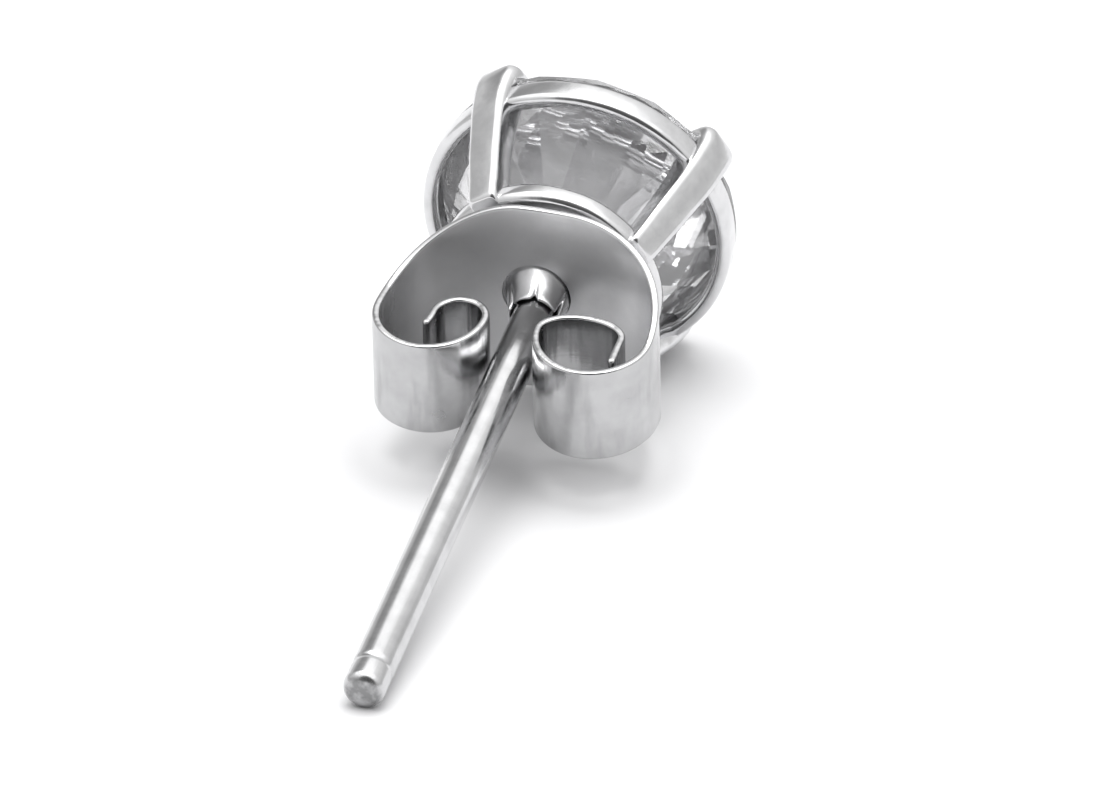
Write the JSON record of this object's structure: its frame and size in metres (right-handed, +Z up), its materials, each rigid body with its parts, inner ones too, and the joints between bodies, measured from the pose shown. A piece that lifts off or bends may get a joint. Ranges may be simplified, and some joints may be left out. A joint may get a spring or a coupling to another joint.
{
  "type": "stud earring with a butterfly back",
  "caption": "Round clear stone in a pronged basket on a straight post, for a pierced ear, with a curled sheet clutch that slides on the post and grips it.",
  "frame": {"origin": "centre of the bounding box on the surface that the earring lies on", "axes": "+Z up, away from the surface; the post points towards -Y and slopes down to its end; +X is to the right of someone who faces the stone's back from the end of the post"},
  "size_m": [0.005, 0.0142, 0.005],
  "materials": {
    "stone": "clear faceted stone, polished facets with crisp edges, no colour",
    "polished_metal": "bright polished white metal with faint handling marks",
    "sheet_metal": "rolled and stamped white metal sheet, bright with faint drawing lines and bending marks"
  },
  "bodies": {
    "stud": {"stone": "stone", "basket_and_post": "polished_metal"},
    "butterfly": {"butterfly_back": "sheet_metal"}
  },
  "joints": [
    {"name": "butterfly_slide", "type": "slide", "parent": "stud", "child": "butterfly", "axis": [0, -0.9861, -0.1663], "range_m": [-0.0001, 0.011]}
  ]
}
